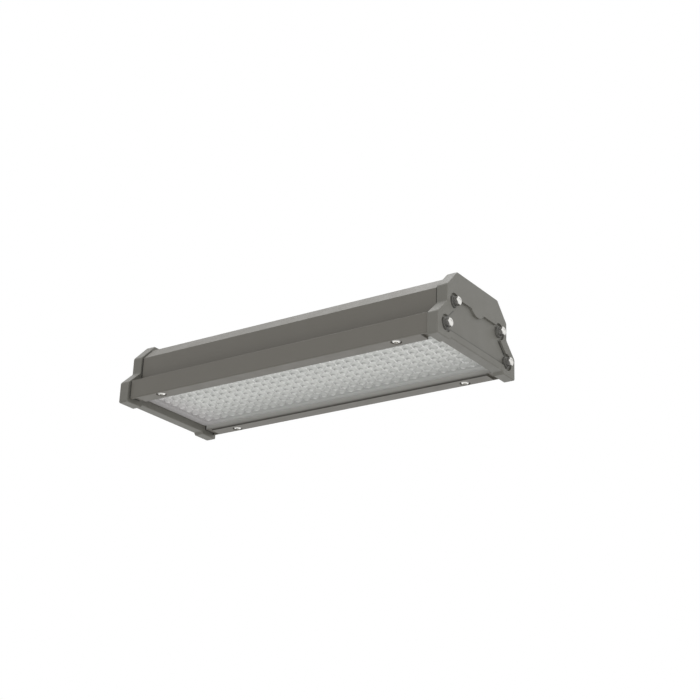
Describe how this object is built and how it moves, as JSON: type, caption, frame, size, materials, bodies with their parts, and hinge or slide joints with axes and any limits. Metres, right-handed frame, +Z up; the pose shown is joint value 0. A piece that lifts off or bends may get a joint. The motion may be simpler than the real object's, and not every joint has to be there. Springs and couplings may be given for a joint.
{
  "type": "linear high bay light",
  "caption": "Long grey aluminium light with stepped body, screwed cast end caps and a domed lens plate underneath, for hanging from a high ceiling.",
  "frame": {"origin": "midway between the end caps, on the plane of their feet", "axes": "+X along the light, +Y across it, +Z up from the lamp side to the mounting side"},
  "size_m": [0.41, 0.148, 0.0844],
  "materials": {
    "grey_housing": "satin powder coat",
    "grey_cap": "satin powder coat on a casting",
    "black_rubber": "matt",
    "bright_screw": "zinc plated",
    "dark_washer": "bonded sealing washer",
    "clear_lens": "clear moulded polycarbonate",
    "white_board": "white solder mask",
    "pale_diode": "phosphor",
    "grey_pad": "soft silicone",
    "bare_aluminium": "plain",
    "white_plastic": "moulded",
    "wire_insulation": "flexible insulation",
    "earth_insulation": "flexible insulation",
    "tinned_metal": "tinned copper",
    "black_plastic": "moulded nylon"
  },
  "bodies": {
    "root": {"housing": "grey_housing", "end_cap_right": "grey_cap", "end_cap_left": "grey_cap", "cap_gasket_right": "black_rubber", "cap_gasket_left": "black_rubber", "cap_screws": "bright_screw", "cap_washers": "dark_washer", "lens_plate": "clear_lens", "lens_seal": "black_rubber", "diode_board_front": "white_board", "diode_board_back": "white_board", "diodes": "pale_diode", "thermal_pads": "grey_pad", "flange_screws": "bright_screw", "driver_case": "bare_aluminium", "driver_end_plates": "bare_aluminium", "driver_screws": "bright_screw", "terminal_block": "white_plastic", "terminal_screws": "bright_screw", "supply_wires": "wire_insulation", "feed_wires": "wire_insulation", "feed_block": "white_plastic", "shelf_grommet": "black_rubber", "earth_lead": "earth_insulation", "ring_terminal": "tinned_metal", "earth_screw": "bright_screw", "gland_washer": "black_rubber", "gland_body": "black_plastic", "gland_nut": "black_plastic", "gland_seal": "black_rubber", "gland_locknut": "black_plastic", "vent_plug": "black_plastic", "vent_locknut": "black_plastic", "hanging_inserts": "bright_screw"}
  },
  "joints": []
}
